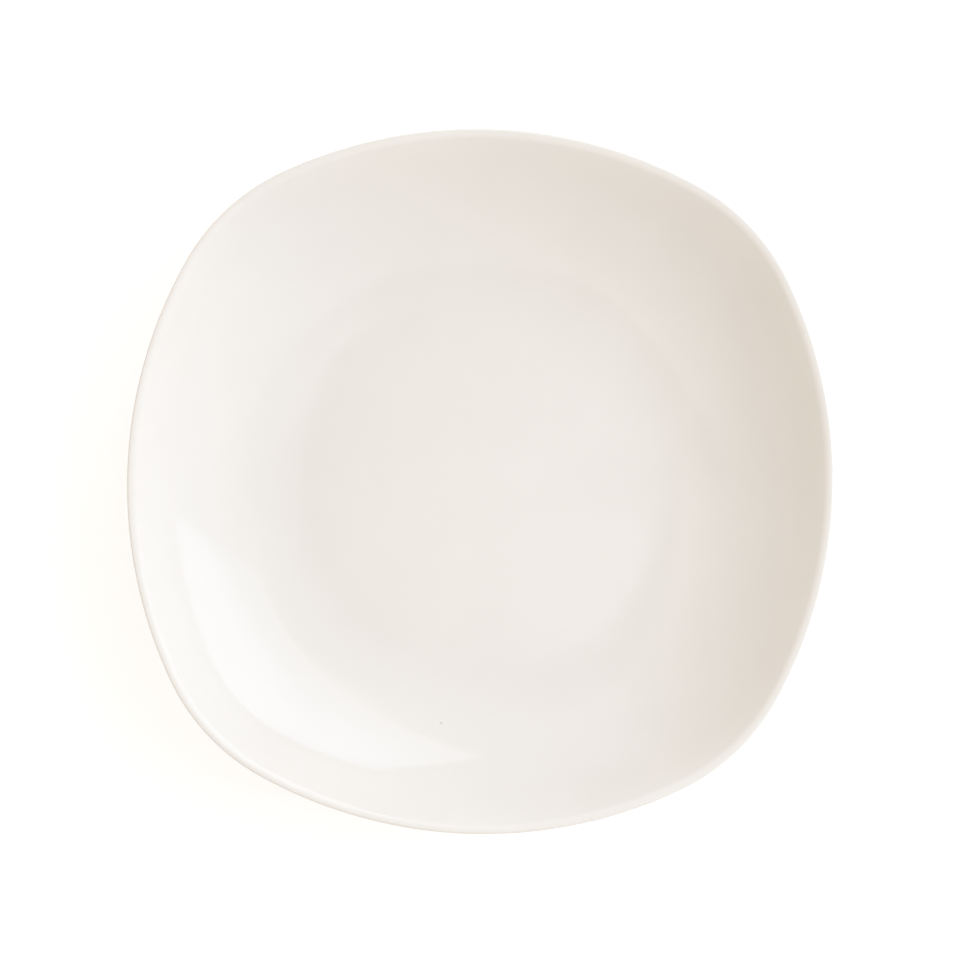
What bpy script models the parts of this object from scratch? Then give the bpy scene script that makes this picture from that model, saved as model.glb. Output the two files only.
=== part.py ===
"""Square deep plate: a coupe-shaped porcelain body on a bare foot ring, and the glaze fused over it.

Metres, +Z up. The origin is on the standing plane, under the middle of the plate.
Each piece is turned from a half section and then squared in plan, so its floor is nearly round
and its rim is a soft square. The half section is a line of (radius, height) points.
"""

from math import asin, atan2, cos, hypot, pi, radians, sin, sqrt, tan

import bmesh
import bpy
from mathutils import Vector

MM = 0.001

# Overall size of the glazed plate, and its plan outline of eight tangent arcs.
PLATE_WIDTH = 230 * MM
PLATE_HEIGHT = 42 * MM
SIDE_RADIUS = 150 * MM
CORNER_RADIUS = 70 * MM

# Half section: the floor curves up into a straight wall that ends in a round lip.
RIM_THICKNESS = 3.6 * MM
WALL_SLOPE = radians(51)
WALL_CURVE_RADIUS = 57 * MM
OUTER_CURVE_RADIUS = 62 * MM
FLOOR_THICKNESS = 5 * MM

# Foot ring, measured on the bare clay. Its radius is to the outer edge of the standing face.
FOOT_RADIUS = 58 * MM
FOOT_FACE_WIDTH = 3.4 * MM
FOOT_HEIGHT = 3 * MM
FOOT_FLARE = 0.8 * MM
FOOT_EDGE_RADIUS = 0.6 * MM
FOOT_FILLET_RADIUS = 1.2 * MM

# Glaze, which stops above the standing face. The gap keeps the two fused solids apart.
GLAZE_THICKNESS = 0.3 * MM
BOND_GAP = 0.05 * MM
GLAZE_LINE_HEIGHT = 1.4 * MM

# Linear colours and roughnesses of the matt clay and the glossy glaze.
CLAY_COLOUR = (0.82, 0.78, 0.72)
CLAY_ROUGHNESS = 0.7
GLAZE_COLOUR = (0.84, 0.80, 0.75)
GLAZE_ROUGHNESS = 0.08

# How finely the curves are divided. A multiple of eight turning steps keeps the sides alike.
TURN_STEPS = 64
WALL_STEPS = 6
LIP_STEPS = 5
FILLET_STEPS = 2
SHARP_EDGE = radians(50)

SKIN = GLAZE_THICKNESS + BOND_GAP
HALF_WIDTH = PLATE_WIDTH / 2
FLOOR_HEIGHT = FOOT_HEIGHT + FLOOR_THICKNESS


def arc(centre, radius, start, end, steps):
    """Points along an arc, both ends included."""
    angles = [start + (end - start) * step / steps for step in range(steps + 1)]
    return [centre + radius * Vector((cos(angle), sin(angle))) for angle in angles]


def fillet(before, corner, after, radius):
    """Points of the arc that rounds a corner, no longer than the lines that meet there."""
    to_before = before - corner
    to_after = after - corner
    half_angle = to_before.angle(to_after) / 2
    reach = min(radius / tan(half_angle), to_before.length, to_after.length)
    middle = (to_before.normalized() + to_after.normalized()).normalized()
    centre = corner + middle * reach / cos(half_angle)
    start = corner + to_before.normalized() * reach - centre
    end = corner + to_after.normalized() * reach - centre
    shares = [step / FILLET_STEPS for step in range(FILLET_STEPS + 1)]
    return [centre + start.length * start.slerp(end, share) for share in shares]


def at_height(low, high, height):
    """The point at a height on the straight line through two points."""
    return low.lerp(high, (height - low.y) / (high.y - low.y))


def offset_line(line, distance):
    """A line moved to its left, which is out of the clay, by an even distance."""
    directions = [(end - start).normalized() for start, end in zip(line, line[1:])]
    normals = [Vector((-direction.y, direction.x)) for direction in directions]
    moved = []
    for point, before, after in zip(line, normals[:1] + normals, normals + normals[-1:]):
        middle = (before + after).normalized()
        moved.append(point + middle * distance / middle.dot(after))
    return moved


def wall_centre(wall_point, base_height, radius):
    """Centre of the arc that is tangent to a level base and to the wall line through a point."""
    corner_radius = wall_point.x - (wall_point.y - base_height) / tan(WALL_SLOPE)
    return Vector((corner_radius - radius * tan(WALL_SLOPE / 2), base_height + radius))


def main_line():
    """Clay surface under the main glaze: floor, wall, lip, outside and the foot's outer flank."""
    lip_radius = RIM_THICKNESS / 2 - SKIN
    lip_centre = Vector((HALF_WIDTH - RIM_THICKNESS / 2, PLATE_HEIGHT - RIM_THICKNESS / 2))
    across_wall = lip_radius * Vector((-sin(WALL_SLOPE), cos(WALL_SLOPE)))
    level = -pi / 2
    sloped = level + WALL_SLOPE

    floor_middle = Vector((0, FLOOR_HEIGHT))
    inner_centre = wall_centre(lip_centre + across_wall, FLOOR_HEIGHT, WALL_CURVE_RADIUS)
    wall = arc(inner_centre, WALL_CURVE_RADIUS, level, sloped, WALL_STEPS)
    lip = arc(lip_centre, lip_radius, sloped + pi, sloped, LIP_STEPS)

    outer_centre = wall_centre(lip_centre - across_wall, FOOT_HEIGHT, OUTER_CURVE_RADIUS)
    flank_top_radius = FOOT_RADIUS + FOOT_FLARE
    turned_up = asin(max(0, flank_top_radius - outer_centre.x) / OUTER_CURVE_RADIUS)
    *outside, lowest = arc(outer_centre, OUTER_CURVE_RADIUS, sloped, level + turned_up, WALL_STEPS)
    flank_top = Vector((flank_top_radius, lowest.y))
    flank_end = at_height(Vector((FOOT_RADIUS, 0)), flank_top, GLAZE_LINE_HEIGHT)
    flank = fillet(outside[-1], flank_top, flank_end, FOOT_FILLET_RADIUS)
    return [floor_middle, *wall, *lip, *outside, *flank, flank_end]


def recess_line():
    """Clay surface under the recess glaze: the foot's inner flank and the underside."""
    flank_foot = Vector((FOOT_RADIUS - FOOT_FACE_WIDTH, 0))
    flank_top = flank_foot + Vector((-FOOT_FLARE, FOOT_HEIGHT))
    flank_end = at_height(flank_foot, flank_top, GLAZE_LINE_HEIGHT)
    middle = Vector((0, FOOT_HEIGHT))
    return [flank_end, *fillet(flank_end, flank_top, middle, FOOT_FILLET_RADIUS), middle]


def bare_foot_line(outer_flank, inner_flank):
    """The unglazed foot between its two glaze lines, with its flat standing face."""
    outer_edge = Vector((FOOT_RADIUS, 0))
    inner_edge = Vector((FOOT_RADIUS - FOOT_FACE_WIDTH, 0))
    return [*fillet(outer_flank, outer_edge, inner_edge, FOOT_EDGE_RADIUS),
            *fillet(outer_edge, inner_edge, inner_flank, FOOT_EDGE_RADIUS)]


def reach_to_circle(angle, centre, radius):
    """How far the circle's far side is from the origin in a direction."""
    along = centre.dot(Vector((cos(angle), sin(angle))))
    return along + sqrt(along ** 2 - centre.length_squared + radius ** 2)


def rim_stretch(angle):
    """The plan outline's reach in a direction, as a share of the half width."""
    side_offset = SIDE_RADIUS - HALF_WIDTH
    corner_offset = (sqrt(2 * (SIDE_RADIUS - CORNER_RADIUS) ** 2 - side_offset ** 2) - side_offset) / 2
    side_centre = Vector((-side_offset, 0))
    corner_centre = Vector((corner_offset, corner_offset))
    tangent = side_centre + (corner_centre - side_centre).normalized() * SIDE_RADIUS

    in_quarter = angle % (pi / 2)
    in_octant = min(in_quarter, pi / 2 - in_quarter)
    if in_octant < atan2(tangent.y, tangent.x):
        return reach_to_circle(in_octant, side_centre, SIDE_RADIUS) / HALF_WIDTH
    return reach_to_circle(in_octant, corner_centre, CORNER_RADIUS) / HALF_WIDTH


def square_in_plan(mesh):
    """Press a turned mesh square: not at all on the axis, fully at the rim."""
    for vertex in mesh.vertices:
        radius = hypot(vertex.co.x, vertex.co.y)
        share = sin(pi / 2 * min(1, radius / HALF_WIDTH))
        vertex.co.xy *= 1 + share * (rim_stretch(atan2(vertex.co.y, vertex.co.x)) - 1)


def turned_piece(name, section, diagonals, colour, roughness):
    """One closed solid from a half section whose two ends are on the axis."""
    outline = bmesh.new()
    points = [outline.verts.new((point.x, 0, point.y)) for point in section]
    for start, end in zip(points, points[1:]):
        outline.edges.new((start, end))
    outline_mesh = bpy.data.meshes.new(name + "_section")
    outline.to_mesh(outline_mesh)
    outline.free()

    lathe = bpy.data.objects.new(name + "_section", outline_mesh)
    plate.objects.link(lathe)
    turn = lathe.modifiers.new("Turn", "SCREW")
    turn.steps = TURN_STEPS
    turn.render_steps = TURN_STEPS
    turn.use_merge_vertices = True
    turn.merge_threshold = BOND_GAP / 10
    mesh = bpy.data.meshes.new_from_object(lathe.evaluated_get(bpy.context.evaluated_depsgraph_get()))
    bpy.data.objects.remove(lathe)
    bpy.data.meshes.remove(outline_mesh)

    square_in_plan(mesh)
    mesh.name = name
    mesh.shade_smooth()
    mesh.set_sharp_from_angle(angle=SHARP_EDGE)
    material = bpy.data.materials.new(name)
    material.use_nodes = True
    shader = material.node_tree.nodes["Principled BSDF"]
    shader.inputs["Base Color"].default_value = (*colour, 1)
    shader.inputs["Roughness"].default_value = roughness
    shader.inputs["Metallic"].default_value = 0
    mesh.materials.append(material)

    piece = bpy.data.objects.new(name, mesh)
    plate.objects.link(piece)
    piece.modifiers.new("Facets", "TRIANGULATE").quad_method = diagonals


for leftover in list(bpy.data.objects):
    bpy.data.objects.remove(leftover)
plate = bpy.data.collections.new("square_deep_plate")
bpy.context.scene.collection.children.link(plate)

main = main_line()
recess = recess_line()

# The fired clay: bowl and foot ring in one. It shows only on the foot, where it is matt.
turned_piece("porcelain_body", [*main, *bare_foot_line(main[-1], recess[0]), *recess],
             "FIXED", CLAY_COLOUR, CLAY_ROUGHNESS)

# The glaze over the inside, the lip and the outside, down to the foot. A glaze section runs back
# along the clay, so the other diagonal splits its facets the way the clay's are split.
turned_piece("main_glaze", [*offset_line(main, SKIN), *reversed(offset_line(main, BOND_GAP))],
             "FIXED_ALTERNATE", GLAZE_COLOUR, GLAZE_ROUGHNESS)

# The glaze in the recess inside the foot ring, cut off from the rest by the wiped foot.
turned_piece("recess_glaze", [*reversed(offset_line(recess, BOND_GAP)), *offset_line(recess, SKIN)],
             "FIXED_ALTERNATE", GLAZE_COLOUR, GLAZE_ROUGHNESS)
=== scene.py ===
"""Looks of the square deep plate: fired clay under two coats of glaze, on a pale studio table.

Metres, +Z up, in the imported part's frame. The plate stands on the origin, and +X and +Y are the
photograph's right and top. Each piece is turned from a half section of (radius, height) points.
"""
from math import asin, atan2, cos, hypot, pi, radians, sin, sqrt, tan

import bpy
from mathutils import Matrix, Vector


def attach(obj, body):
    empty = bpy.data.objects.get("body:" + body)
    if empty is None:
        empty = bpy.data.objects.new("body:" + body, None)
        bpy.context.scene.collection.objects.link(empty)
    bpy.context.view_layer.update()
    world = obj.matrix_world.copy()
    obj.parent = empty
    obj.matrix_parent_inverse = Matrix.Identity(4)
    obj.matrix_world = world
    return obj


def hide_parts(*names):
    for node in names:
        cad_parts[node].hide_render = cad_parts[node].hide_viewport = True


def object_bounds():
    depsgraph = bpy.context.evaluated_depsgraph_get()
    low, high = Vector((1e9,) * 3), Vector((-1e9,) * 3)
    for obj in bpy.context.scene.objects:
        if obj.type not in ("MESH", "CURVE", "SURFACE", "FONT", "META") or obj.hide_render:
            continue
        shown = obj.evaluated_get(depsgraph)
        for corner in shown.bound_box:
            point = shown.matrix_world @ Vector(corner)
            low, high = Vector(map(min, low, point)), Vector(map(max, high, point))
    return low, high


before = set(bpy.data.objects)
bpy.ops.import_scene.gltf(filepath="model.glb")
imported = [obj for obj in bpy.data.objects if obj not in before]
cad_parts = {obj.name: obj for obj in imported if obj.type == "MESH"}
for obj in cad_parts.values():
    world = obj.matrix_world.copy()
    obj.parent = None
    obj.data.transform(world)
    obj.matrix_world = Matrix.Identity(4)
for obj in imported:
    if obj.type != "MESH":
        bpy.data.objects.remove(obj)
cad_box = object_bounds()

# Porcelain body: the bowl and its foot ring, one casting of white clay. It is turned on a jigger
# and pressed square while damp. Only the foot stays bare, because it is wiped before firing.
MM = 0.001
PLATE_WIDTH = 230 * MM
PLATE_HEIGHT = cad_box[1].z
HALF_WIDTH = PLATE_WIDTH / 2
SIDE_RADIUS = 150 * MM
CORNER_RADIUS = 70 * MM

LIP_RADIUS = 0.55 * MM
LIP_INNER_RADIUS = 4 * MM
LIP_INNER_TURN = radians(44)
LIP_OUTER_RADIUS = 8 * MM
LIP_OUTER_TURN = radians(26)
WALL_SLOPE = radians(54)
WALL_CURVE_RADIUS = 60 * MM
OUTER_CURVE_RADIUS = 65 * MM
FLOOR_HEIGHT = 8 * MM

FOOT_RADIUS = 58 * MM
FOOT_FACE_WIDTH = 3.4 * MM
FOOT_HEIGHT = 3 * MM
FOOT_FLARE = 0.8 * MM
FOOT_EDGE_RADIUS = 0.6 * MM
FOOT_FILLET_RADIUS = 1.2 * MM

GLAZE_THICKNESS = 0.3 * MM
BOND_GAP = 0.05 * MM
SKIN = GLAZE_THICKNESS + BOND_GAP
GLAZE_LINE_HEIGHT = 1.4 * MM

TURN_STEPS = 320
FLOOR_STEPS = 8
WALL_STEPS = 34
STRAIGHT_STEPS = 4
LIP_STEPS = 18
EASE_STEPS = 10
FILLET_STEPS = 5
WELD_DISTANCE = BOND_GAP / 10
SHARP_EDGE = radians(40)

CLAY_COLOUR = (0.82, 0.78, 0.72, 1)
CLAY_SHADE = (0.74, 0.69, 0.62, 1)
CLAY_ROUGHNESS = (0.66, 0.82)
GRAIN_SIZE = 0.35 * MM
GRAIN_HEIGHT = 0.02 * MM
BLUSH_SIZE = 9 * MM
WIPING_PITCH = 0.5 * MM
STANDING_HEIGHTS = (0.25 * MM, 0.05 * MM)
STANDING_POLISH = 0.12
SCUFF_COLOUR = (0.42, 0.41, 0.40, 1)
SCUFF_SIZE = 4 * MM
SCUFF_SPREAD = (0.54, 0.66)
SCUFF_SHARE = 0.5
MOTTLE_SPREAD = (0.3, 0.7)


def way(angle):
    """The direction at an angle, one long."""
    return Vector((cos(angle), sin(angle)))


def arc(centre, radius, start, end, steps):
    """Points along an arc, both ends included."""
    angles = [start + (end - start) * step / steps for step in range(steps + 1)]
    return [centre + radius * way(angle) for angle in angles]


def straight(start, end, steps):
    """Points between the ends of a straight run, both ends left out."""
    return [start.lerp(end, step / steps) for step in range(1, steps)]


def fillet(before, corner, after, radius):
    """Points of the arc that rounds a corner, no longer than the lines that meet there."""
    to_before = before - corner
    to_after = after - corner
    half_angle = to_before.angle(to_after) / 2
    reach = min(radius / tan(half_angle), to_before.length, to_after.length)
    middle = (to_before.normalized() + to_after.normalized()).normalized()
    centre = corner + middle * reach / cos(half_angle)
    start = corner + to_before.normalized() * reach - centre
    end = corner + to_after.normalized() * reach - centre
    shares = [step / FILLET_STEPS for step in range(FILLET_STEPS + 1)]
    return [centre + start.length * start.slerp(end, share) for share in shares]


def at_height(low, high, height):
    """The point at a height on the straight line through two points."""
    return low.lerp(high, (height - low.y) / (high.y - low.y))


def curve_centre(wall_point, base_height, radius):
    """Centre of the arc that is tangent to a level base and to the wall line through a point."""
    corner_radius = wall_point.x - (wall_point.y - base_height) / tan(WALL_SLOPE)
    return Vector((corner_radius - radius * tan(WALL_SLOPE / 2), base_height + radius))


def clay_inside_and_out():
    """Clay under the main glaze: floor, wall, lip, outside and the foot's outer flank."""
    level = -pi / 2
    sloped = level + WALL_SLOPE
    lip_start = sloped + pi - LIP_INNER_TURN
    lip_end = sloped + LIP_OUTER_TURN
    lip_centre = Vector((HALF_WIDTH - LIP_RADIUS, PLATE_HEIGHT - LIP_RADIUS))
    inner_ease_centre = lip_centre - (LIP_INNER_RADIUS - LIP_RADIUS) * way(lip_start)
    outer_ease_centre = lip_centre - (LIP_OUTER_RADIUS - LIP_RADIUS) * way(lip_end)
    inner_ease = arc(inner_ease_centre, LIP_INNER_RADIUS - SKIN, sloped + pi, lip_start, EASE_STEPS)
    lip = arc(lip_centre, LIP_RADIUS - SKIN, lip_start, lip_end, LIP_STEPS)
    outer_ease = arc(outer_ease_centre, LIP_OUTER_RADIUS - SKIN, lip_end, sloped, EASE_STEPS)

    floor_middle = Vector((0, FLOOR_HEIGHT))
    inner_centre = curve_centre(inner_ease[0], FLOOR_HEIGHT, WALL_CURVE_RADIUS)
    wall = arc(inner_centre, WALL_CURVE_RADIUS, level, sloped, WALL_STEPS)
    outer_centre = curve_centre(outer_ease[-1], FOOT_HEIGHT, OUTER_CURVE_RADIUS)
    flank_top_radius = FOOT_RADIUS + FOOT_FLARE
    turned_up = asin((flank_top_radius - outer_centre.x) / OUTER_CURVE_RADIUS)
    *outside, lowest = arc(outer_centre, OUTER_CURVE_RADIUS, sloped, level + turned_up, WALL_STEPS)
    flank_top = Vector((flank_top_radius, lowest.y))
    flank_end = at_height(Vector((FOOT_RADIUS, 0)), flank_top, GLAZE_LINE_HEIGHT)
    flank = fillet(outside[-1], flank_top, flank_end, FOOT_FILLET_RADIUS)
    return [floor_middle, *straight(floor_middle, wall[0], FLOOR_STEPS), *wall,
            *straight(wall[-1], inner_ease[0], STRAIGHT_STEPS), *inner_ease, *lip[1:], *outer_ease[1:],
            *straight(outer_ease[-1], outside[0], STRAIGHT_STEPS), *outside, *flank, flank_end]


def clay_in_recess():
    """Clay under the recess glaze: the foot's inner flank and the underside."""
    flank_foot = Vector((FOOT_RADIUS - FOOT_FACE_WIDTH, 0))
    flank_top = flank_foot + Vector((-FOOT_FLARE, FOOT_HEIGHT))
    flank_end = at_height(flank_foot, flank_top, GLAZE_LINE_HEIGHT)
    middle = Vector((0, FOOT_HEIGHT))
    corner = fillet(flank_end, flank_top, middle, FOOT_FILLET_RADIUS)
    return [flank_end, *corner, *straight(corner[-1], middle, FLOOR_STEPS), middle]


def bare_foot(outer_flank, inner_flank):
    """The unglazed foot between its two glaze lines, with its flat standing face."""
    outer_edge = Vector((FOOT_RADIUS, 0))
    inner_edge = Vector((FOOT_RADIUS - FOOT_FACE_WIDTH, 0))
    outer = fillet(outer_flank, outer_edge, inner_edge, FOOT_EDGE_RADIUS)
    inner = fillet(outer_edge, inner_edge, inner_flank, FOOT_EDGE_RADIUS)
    return [*outer, *straight(outer[-1], inner[0], STRAIGHT_STEPS), *inner]


def reach_to_circle(angle, centre, radius):
    """How far the circle's far side is from the origin in a direction."""
    along = centre.dot(way(angle))
    return along + sqrt(along ** 2 - centre.length_squared + radius ** 2)


def rim_stretch(angle):
    """The plan outline's reach in a direction, as a share of the half width."""
    side_offset = SIDE_RADIUS - HALF_WIDTH
    between_centres = SIDE_RADIUS - CORNER_RADIUS
    corner_offset = (sqrt(2 * between_centres ** 2 - side_offset ** 2) - side_offset) / 2
    side_centre = Vector((-side_offset, 0))
    corner_centre = Vector((corner_offset, corner_offset))
    tangent = side_centre + (corner_centre - side_centre).normalized() * SIDE_RADIUS

    in_quarter = angle % (pi / 2)
    in_octant = min(in_quarter, pi / 2 - in_quarter)
    if in_octant < atan2(tangent.y, tangent.x):
        return reach_to_circle(in_octant, side_centre, SIDE_RADIUS) / HALF_WIDTH
    return reach_to_circle(in_octant, corner_centre, CORNER_RADIUS) / HALF_WIDTH


def press_square(piece):
    """Press a turned piece square: not at all on the axis, fully at the rim."""
    stretches = [rim_stretch(2 * pi * step / TURN_STEPS) for step in range(TURN_STEPS)]
    for vertex in piece.data.vertices:
        step = round(atan2(vertex.co.y, vertex.co.x) / (2 * pi) * TURN_STEPS)
        share = sin(pi / 2 * min(1, hypot(vertex.co.x, vertex.co.y) / HALF_WIDTH))
        vertex.co.xy *= 1 + share * (stretches[step % TURN_STEPS] - 1)


def turn_piece(name, section):
    """A closed solid: a half section drawn out point by point from the axis and spun round it."""
    bpy.ops.object.select_all(action="DESELECT")
    bpy.ops.mesh.primitive_plane_add(size=MM)
    piece = bpy.context.object
    piece.name = name
    piece.data.name = name
    bpy.ops.object.mode_set(mode="EDIT")
    bpy.ops.mesh.select_mode(type="VERT")
    bpy.ops.mesh.merge(type="CENTER")
    bpy.ops.transform.translate(value=(section[0].x, 0, section[0].y))
    for start, end in zip(section, section[1:]):
        step = end - start
        bpy.ops.mesh.extrude_vertices_move(TRANSFORM_OT_translate={"value": (step.x, 0, step.y)})
    bpy.ops.mesh.select_all(action="SELECT")
    bpy.ops.mesh.spin(steps=TURN_STEPS, angle=2 * pi, center=(0, 0, 0), axis=(0, 0, 1))
    bpy.ops.mesh.select_all(action="SELECT")
    bpy.ops.mesh.remove_doubles(threshold=WELD_DISTANCE)
    bpy.ops.mesh.normals_make_consistent(inside=False)
    bpy.ops.object.mode_set(mode="OBJECT")
    press_square(piece)
    bpy.ops.object.shade_smooth_by_angle(angle=SHARP_EDGE)
    return piece


def feed(tree, socket, value):
    """Set a node's input, or link it where another node's output is given."""
    if isinstance(value, bpy.types.NodeSocket):
        tree.links.new(value, socket)
    else:
        socket.default_value = value


def add_node(tree, kind, **sockets):
    """A shader node with its named inputs fed."""
    node = tree.nodes.new(kind)
    for name, value in sockets.items():
        feed(tree, node.inputs[name.replace("_", " ")], value)
    return node


def combine(tree, operation, first, second):
    """The result of one sum on two values."""
    node = tree.nodes.new("ShaderNodeMath")
    node.operation = operation
    feed(tree, node.inputs[0], first)
    feed(tree, node.inputs[1], second)
    return node.outputs[0]


def ramp(tree, value, low, high, start=0.0, end=1.0):
    """A value carried smoothly from one range to another, and held at the ends."""
    node = add_node(tree, "ShaderNodeMapRange", Value=value, From_Min=low, From_Max=high,
                    To_Min=start, To_Max=end)
    node.interpolation_type = "SMOOTHSTEP"
    return node.outputs["Result"]


def mottle(tree, place, size, detail):
    """Soft random patches of about a size in metres, from 0 to 1."""
    noise = add_node(tree, "ShaderNodeTexNoise", Vector=place, Scale=1 / size, Detail=detail)
    return noise.outputs["Fac"]


def blend(tree, share, first, second):
    """A colour between two."""
    node = tree.nodes.new("ShaderNodeMix")
    node.data_type = "RGBA"
    feed(tree, node.inputs["Factor"], share)
    colours = [socket for socket in node.inputs if socket.type == "RGBA"]
    feed(tree, colours[0], first)
    feed(tree, colours[1], second)
    return next(socket for socket in node.outputs if socket.type == "RGBA")


def raise_surface(tree, shader, heights):
    """Bump a surface by heights in metres."""
    bump = add_node(tree, "ShaderNodeBump", Height=heights, Distance=1.0)
    tree.links.new(bump.outputs["Normal"], shader.inputs["Normal"])


def start_material(piece, name):
    """A new material on a piece, with its tree, its shader and its place on the piece."""
    material = bpy.data.materials.new(name)
    material.use_nodes = True
    piece.data.materials.append(material)
    tree = material.node_tree
    place = add_node(tree, "ShaderNodeTexCoord").outputs["Object"]
    return tree, tree.nodes["Principled BSDF"], place


outer_clay = clay_inside_and_out()
recess_clay = clay_in_recess()
body = turn_piece("clay_body", [*outer_clay, *bare_foot(outer_clay[-1], recess_clay[0]), *recess_clay])

# The wave texture at scale 1 repeats every 0.1 pi, which sets the pitch of the wiping rings.
tree, shader, place = start_material(body, "bare_porcelain")
grain = mottle(tree, place, GRAIN_SIZE, detail=3.0)
blush = mottle(tree, place, BLUSH_SIZE, detail=2.0)
wiping = add_node(tree, "ShaderNodeTexWave", Vector=place, Scale=0.1 * pi / WIPING_PITCH,
                  Distortion=3.0, Detail=2.0)
wiping.wave_type = "RINGS"
wiping.rings_direction = "Z"
height = add_node(tree, "ShaderNodeSeparateXYZ", Vector=place).outputs["Z"]
standing = ramp(tree, height, *STANDING_HEIGHTS)
rubbed = ramp(tree, mottle(tree, place, SCUFF_SIZE, detail=5.0), *SCUFF_SPREAD, 0.0, SCUFF_SHARE)
scuffs = combine(tree, "MULTIPLY", standing, rubbed)
clay = blend(tree, combine(tree, "MULTIPLY", grain, blush), CLAY_COLOUR, CLAY_SHADE)
feed(tree, shader.inputs["Base Color"], blend(tree, scuffs, clay, SCUFF_COLOUR))
rough = ramp(tree, grain, *MOTTLE_SPREAD, *CLAY_ROUGHNESS)
polish = combine(tree, "MULTIPLY", standing, STANDING_POLISH)
feed(tree, shader.inputs["Roughness"], combine(tree, "SUBTRACT", rough, polish))
grit = combine(tree, "ADD", grain, wiping.outputs["Fac"])
raise_surface(tree, shader, combine(tree, "MULTIPLY", grit, GRAIN_HEIGHT))
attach(body, "root")
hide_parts("porcelain_body")


# Main glaze: the glass coat fused over the inside, the lip and the outside of the clay. It is
# sprayed on, fires glossy and warm white, and stops in a round bead above the wiped foot.
BEAD_STEPS = 8
GLAZE_COLOUR = (0.826, 0.786, 0.741, 1)
GLAZE_SHADE = (0.817, 0.776, 0.731, 1)
GLAZE_IOR = 1.6
GLAZE_ROUGHNESS = (0.04, 0.065)
CLOUD_SIZE = 26 * MM
HAZE_SIZE = 14 * MM
RIPPLE_SIZE = 7 * MM
RIPPLE_HEIGHT = 0.003 * MM

# Each speck has its place in plan, 1 for the inside or -1 for the outside, and its radius.
SPECKS = [(-10.6 * MM, -80.2 * MM, 1, 0.5 * MM), (61.0 * MM, 48.0 * MM, -1, 0.3 * MM),
          (-82.0 * MM, 20.0 * MM, -1, 0.25 * MM), (34.0 * MM, -88.0 * MM, -1, 0.35 * MM)]
SPECK_COLOUR = (0.30, 0.25, 0.20, 1)
SPECK_SHARE = 0.25
SPECK_EDGE = 0.3 * MM
SPECK_RAG_SIZE = 0.4 * MM


def offset_line(line, distance):
    """A line moved to its left, which is out of the clay, by an even distance."""
    directions = [(end - start).normalized() for start, end in zip(line, line[1:])]
    normals = [Vector((-direction.y, direction.x)) for direction in directions]
    moved = []
    for point, before, after in zip(line, normals[:1] + normals, normals + normals[-1:]):
        middle = (before + after).normalized()
        moved.append(point + middle * distance / middle.dot(after))
    return moved


def bead(start, end):
    """The round end of a coat, from one of its faces to the other."""
    centre = (start + end) / 2
    across = start - centre
    turn = atan2(across.y, across.x)
    return arc(centre, across.length, turn, turn - pi, BEAD_STEPS)[1:-1]


def distance_from(tree, place, point):
    """How far each place is from a point."""
    node = add_node(tree, "ShaderNodeVectorMath", Vector=place)
    node.operation = "DISTANCE"
    node.inputs[1].default_value = point
    return node.outputs["Value"]


face = offset_line(outer_clay, SKIN)
back = offset_line(outer_clay, BOND_GAP)
main_glaze = turn_piece("main_glaze_coat", [*face, *bead(face[-1], back[-1]), *reversed(back)])

tree, shader, place = start_material(main_glaze, "warm_white_glaze")
shader.inputs["IOR"].default_value = GLAZE_IOR
clouds = ramp(tree, mottle(tree, place, CLOUD_SIZE, detail=2.0), *MOTTLE_SPREAD)
tone = blend(tree, clouds, GLAZE_COLOUR, GLAZE_SHADE)
for x, y, side, radius in SPECKS:
    spot = main_glaze.ray_cast(Vector((x, y, side * PLATE_WIDTH)), Vector((0, 0, -side)))[1]
    rag = combine(tree, "MULTIPLY", mottle(tree, place, SPECK_RAG_SIZE, detail=2.0), SPECK_EDGE)
    ragged = combine(tree, "ADD", distance_from(tree, place, spot), rag)
    speck = ramp(tree, ragged, radius + SPECK_EDGE, radius, 0.0, SPECK_SHARE)
    tone = blend(tree, speck, tone, SPECK_COLOUR)
feed(tree, shader.inputs["Base Color"], tone)
haze = ramp(tree, mottle(tree, place, HAZE_SIZE, detail=4.0), *MOTTLE_SPREAD, *GLAZE_ROUGHNESS)
feed(tree, shader.inputs["Roughness"], haze)
ripple = mottle(tree, place, RIPPLE_SIZE, detail=1.0)
raise_surface(tree, shader, combine(tree, "MULTIPLY", ripple, RIPPLE_HEIGHT))
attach(main_glaze, "root")
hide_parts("main_glaze")


# Recess glaze: the same glossy coat on the underside, within the foot ring. It is sprayed on with
# the rest and cut off from it by the bare foot.
face = offset_line(recess_clay, SKIN)
back = offset_line(recess_clay, BOND_GAP)
recess_glaze = turn_piece("recess_glaze_coat", [*reversed(back), *bead(back[0], face[0]), *face])
recess_glaze.data.materials.append(main_glaze.data.materials[0])
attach(recess_glaze, "root")
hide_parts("recess_glaze")


# Table: a plain white sheet under the plate. It looks white all over, also in the glaze, and takes
# a soft shadow. As a light it is only the paper that the lamps fall on.
TABLE_SIZE = 6
TABLE_DROP = 0.05 * MM
PAPER_COLOUR = (0.95, 0.95, 0.95, 1)
SHADOWED_COLOUR = (0.5, 0.5, 0.5, 1)
SHADOWED_GLOW = 0.62
WHITE = (1, 1, 1, 1)


def start_staging(card, name):
    """A new material without a shader, with its tree and its place on the card."""
    tree, shader, place = start_material(card, name)
    tree.nodes.remove(shader)
    return tree, place


def join_shaders(tree, kind, first, second):
    """Two shaders added or mixed."""
    node = tree.nodes.new(kind)
    shaders = [socket for socket in node.inputs if socket.type == "SHADER"]
    tree.links.new(first.outputs[0], shaders[0])
    tree.links.new(second.outputs[0], shaders[1])
    return node


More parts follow.
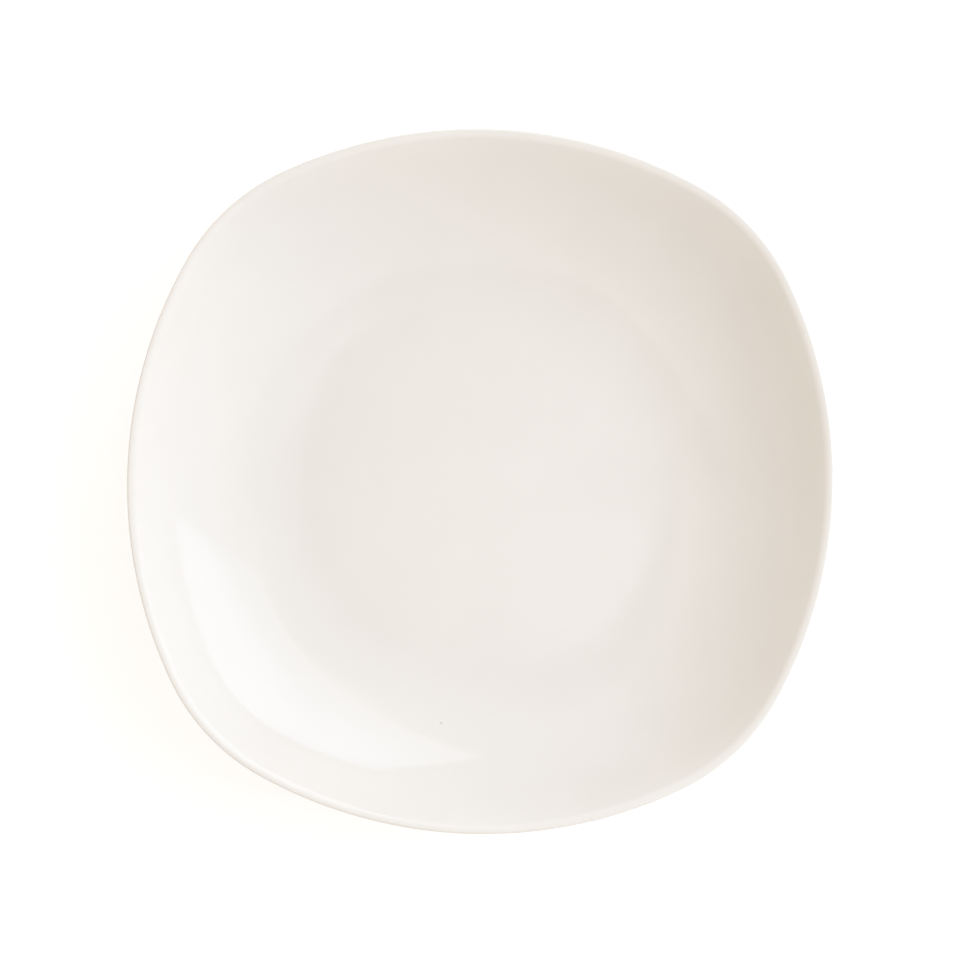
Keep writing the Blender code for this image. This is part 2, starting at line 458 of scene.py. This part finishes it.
def rays_that_see(tree):
    """1 for the rays that show the surroundings: the eye's, the mirrored and the refracted."""
    path = add_node(tree, "ShaderNodeLightPath")
    seen = combine(tree, "MAXIMUM", path.outputs["Is Camera Ray"], path.outputs["Is Glossy Ray"])
    return combine(tree, "MAXIMUM", seen, path.outputs["Is Transmission Ray"])


bpy.ops.object.select_all(action="DESELECT")
bpy.ops.mesh.primitive_plane_add(size=TABLE_SIZE, location=(0, 0, -TABLE_DROP))
table = bpy.context.object
table.name = "table"
tree, place = start_staging(table, "white_table")
lit = add_node(tree, "ShaderNodeBsdfDiffuse", Color=PAPER_COLOUR)
shadowed = add_node(tree, "ShaderNodeBsdfDiffuse", Color=SHADOWED_COLOUR)
glow = add_node(tree, "ShaderNodeEmission", Color=WHITE, Strength=SHADOWED_GLOW)
looks = join_shaders(tree, "ShaderNodeAddShader", shadowed, glow)
sheet = join_shaders(tree, "ShaderNodeMixShader", lit, looks)
feed(tree, sheet.inputs["Fac"], rays_that_see(tree))
tree.links.new(sheet.outputs[0], tree.nodes["Material Output"].inputs["Surface"])


# Room: white all round to the eye, and nearly so in the glaze. As a light it is even and slightly
# warm.
ROOM_LIGHT = (0.847, 0.789, 0.709, 1)
MIRRORED_WHITE = 0.8
world = bpy.data.worlds.new("room")
bpy.context.scene.world = world
world.use_nodes = True
tree = world.node_tree
to_eye = add_node(tree, "ShaderNodeLightPath").outputs["Is Camera Ray"]
lit = tree.nodes["Background"]
lit.inputs["Color"].default_value = ROOM_LIGHT
walls = add_node(tree, "ShaderNodeBackground", Color=WHITE,
                 Strength=combine(tree, "MAXIMUM", to_eye, MIRRORED_WHITE))
room = join_shaders(tree, "ShaderNodeMixShader", lit, walls)
feed(tree, room.inputs["Fac"], rays_that_see(tree))
tree.links.new(room.outputs[0], tree.nodes["World Output"].inputs["Surface"])


# Softbox: a big lit panel at the back right, tilted to face the plate and brightest near its
# middle. The glaze shows it as the crescent on the opposite wall.
SOFTBOX_AZIMUTH = radians(46)
SOFTBOX_ELEVATION = radians(30)
SOFTBOX_SHIFT = Vector((-0.07, -0.065, 0.02))
SOFTBOX_CORNERS = [(-0.83, -0.65), (-0.2, 0.48), (0.18, 0.48), (0.46, 0.22), (0.77, 0.06),
                   (0.63, -0.3), (0.6, -0.65)]
SOFTBOX_COLOUR = (0.78, 1, 1.26, 1)
CORE_PLACE = (0.25, -0.15, 0)
CORE_REACH = (0.75, 0.5, 1)
CORE_GLOW = 1.17
EDGE_GLOW = 0.545


def cut_card(name, corners):
    """A flat card with its corners at these places, which the camera does not see."""
    bpy.ops.object.select_all(action="DESELECT")
    bpy.ops.mesh.primitive_circle_add(vertices=len(corners), fill_type="NGON")
    card = bpy.context.object
    card.name = name
    for vertex, corner in zip(card.data.vertices, corners):
        vertex.co = (*corner, 0)
    card.visible_camera = False
    return card


softbox_way = Vector((cos(SOFTBOX_ELEVATION) * cos(SOFTBOX_AZIMUTH),
                      cos(SOFTBOX_ELEVATION) * sin(SOFTBOX_AZIMUTH), sin(SOFTBOX_ELEVATION)))
softbox = cut_card("softbox", SOFTBOX_CORNERS)
softbox.location = softbox_way + SOFTBOX_SHIFT
softbox.rotation_euler = softbox_way.to_track_quat("Z", "Y").to_euler()
tree, place = start_staging(softbox, "softbox_cloth")
from_core = add_node(tree, "ShaderNodeMapping", Vector=place)
from_core.vector_type = "TEXTURE"
from_core.inputs["Location"].default_value = CORE_PLACE
from_core.inputs["Scale"].default_value = CORE_REACH
spread = add_node(tree, "ShaderNodeVectorMath", Vector=from_core.outputs[0])
spread.operation = "LENGTH"
glow = add_node(tree, "ShaderNodeMapRange", Value=spread.outputs["Value"], To_Min=CORE_GLOW,
                To_Max=EDGE_GLOW)
cloth = add_node(tree, "ShaderNodeEmission", Color=SOFTBOX_COLOUR, Strength=glow.outputs[0])
clear = add_node(tree, "ShaderNodeBsdfTransparent", Color=WHITE)
front = join_shaders(tree, "ShaderNodeAddShader", cloth, clear)
tree.links.new(front.outputs[0], tree.nodes["Material Output"].inputs["Surface"])


# Flag: a grey card beside the softbox, which the glaze shows as a darker edge along the crescent.
# It is there for the glaze alone and shades nothing.
FLAG_CORNERS = [(-0.83, -0.65), (-1.0, -0.65), (-0.85, -0.35), (-0.64, 0.15), (-0.6, 0.6),
                (-0.42, 1.0), (-0.03, 0.95), (-0.2, 0.48)]
FLAG_GREY = 0.57


def show_in_glaze(card, tree, strength):
    """Make a card a glow that mirrored rays alone meet."""
    card.visible_diffuse = False
    card.visible_shadow = False
    glow = add_node(tree, "ShaderNodeEmission", Color=WHITE, Strength=strength)
    tree.links.new(glow.outputs[0], tree.nodes["Material Output"].inputs["Surface"])


flag = cut_card("flag", FLAG_CORNERS)
flag.location = softbox.location
flag.rotation_euler = softbox.rotation_euler
tree, place = start_staging(flag, "grey_card")
show_in_glaze(flag, tree, FLAG_GREY)


# Overhead card: a grey card over the plate, just above the lens. The glaze shows it as a slightly
# darker middle with a clear edge and a light patch on its front right. It is white at its back left.
OVERHEAD_HEIGHT = 1.0
OVERHEAD_CORNERS = [(-0.7, -0.02), (-0.43, -0.06), (-0.29, -0.08), (-0.2, -0.15), (-0.13, -0.37),
                    (0.15, -0.37), (0.21, -0.23), (0.36, -0.13), (0.53, -0.09), (0.74, -0.02),
                    (1.3, 0.06), (2.2, 0.2), (1.4, 0.6), (0.5, 0.9), (-0.5, 0.9), (-0.75, 0.5),
                    (-1.0, 0.05)]
LEFT_GREY = 0.23
RIGHT_GREY = 0.36
LEFT_TO_RIGHT = (-0.13, 0.03)
PATCH_PLACE = (0.078, 0.01, 0)
PATCH_RADII = (0.08, 0.02)
PATCH_WHITE = 0.76
FRONT_LIFT = 0.08
FRONT_EDGE = (0.0485, 0.0505)
BACK_FADE = (0.1, 0.9)
BACK_LEFT_GREY = 0.14
BACK_LEFT_ACROSS = (-0.12, -0.3)
BACK_LEFT_ALONG = (-0.03, 0.12)
overhead = cut_card("overhead_card", OVERHEAD_CORNERS)
overhead.location.z = OVERHEAD_HEIGHT
tree, place = start_staging(overhead, "overhead_grey")
sides = add_node(tree, "ShaderNodeSeparateXYZ", Vector=place).outputs
across = sides["X"]
along = sides["Y"]
grey = ramp(tree, across, *LEFT_TO_RIGHT, LEFT_GREY, RIGHT_GREY)
behind = ramp(tree, along, *BACK_FADE, grey, MIRRORED_WHITE)
before = ramp(tree, distance_from(tree, place, PATCH_PLACE), *PATCH_RADII,
              combine(tree, "ADD", grey, FRONT_LIFT), PATCH_WHITE)
middle = ramp(tree, along, *FRONT_EDGE, before, behind)
leftward = ramp(tree, across, *BACK_LEFT_ACROSS, BACK_LEFT_GREY, MIRRORED_WHITE)
backward = ramp(tree, along, *BACK_LEFT_ALONG, BACK_LEFT_GREY, MIRRORED_WHITE)
back_left = combine(tree, "MINIMUM", leftward, backward)
show_in_glaze(overhead, tree, combine(tree, "MAXIMUM", middle, back_left))


# Side panel: a near, cooler fill light on the right, a lit sheet tilted to face the plate. It softens
# the shade on the inside wall, and the glaze does not show it.
PANEL_ELEVATION = radians(40)
PANEL_DISTANCE = 0.6
PANEL_ASIDE = 0.015
PANEL_SIZE = (0.42, 0.72)
PANEL_COLOUR = (0.822, 1, 1.252)
PANEL_GLOW = 1.73
panel_light = bpy.data.lights.new("side_panel", "AREA")
panel_light.shape = "RECTANGLE"
panel_light.size, panel_light.size_y = PANEL_SIZE
panel_light.color = PANEL_COLOUR
panel_light.energy = PANEL_GLOW * pi * PANEL_SIZE[0] * PANEL_SIZE[1]
panel = bpy.data.objects.new("side_panel", panel_light)
bpy.context.scene.collection.objects.link(panel)
panel_way = Vector((cos(PANEL_ELEVATION), PANEL_ASIDE, sin(PANEL_ELEVATION)))
panel.location = PANEL_DISTANCE * panel_way
panel.rotation_euler = panel_way.to_track_quat("Z", "Y").to_euler()
panel.visible_camera = False
panel.visible_glossy = False


# Camera: the photograph's, almost straight above the plate and a little to the front. Its long lens
# is aimed close to the middle of the rim.
CAMERA_DISTANCE = 0.9
CAMERA_TILT = radians(4)
CAMERA_ROLL = radians(1.8)
CAMERA_AIM = (0.69 * MM, -1.36 * MM)
SENSOR_WIDTH = 36
LENS_LENGTH = 103.25
camera_data = bpy.data.cameras.new("camera")
camera_data.sensor_width = SENSOR_WIDTH
camera_data.lens = LENS_LENGTH
camera = bpy.data.objects.new("camera", camera_data)
bpy.context.scene.collection.objects.link(camera)
camera.rotation_euler = (CAMERA_TILT, 0, CAMERA_ROLL)
aside = CAMERA_DISTANCE * sin(CAMERA_TILT)
camera.location = (CAMERA_AIM[0] + aside * sin(CAMERA_ROLL), CAMERA_AIM[1] - aside * cos(CAMERA_ROLL),
                   PLATE_HEIGHT + CAMERA_DISTANCE * cos(CAMERA_TILT))
bpy.context.scene.camera = camera
bpy.context.scene.view_settings.view_transform = "Standard"
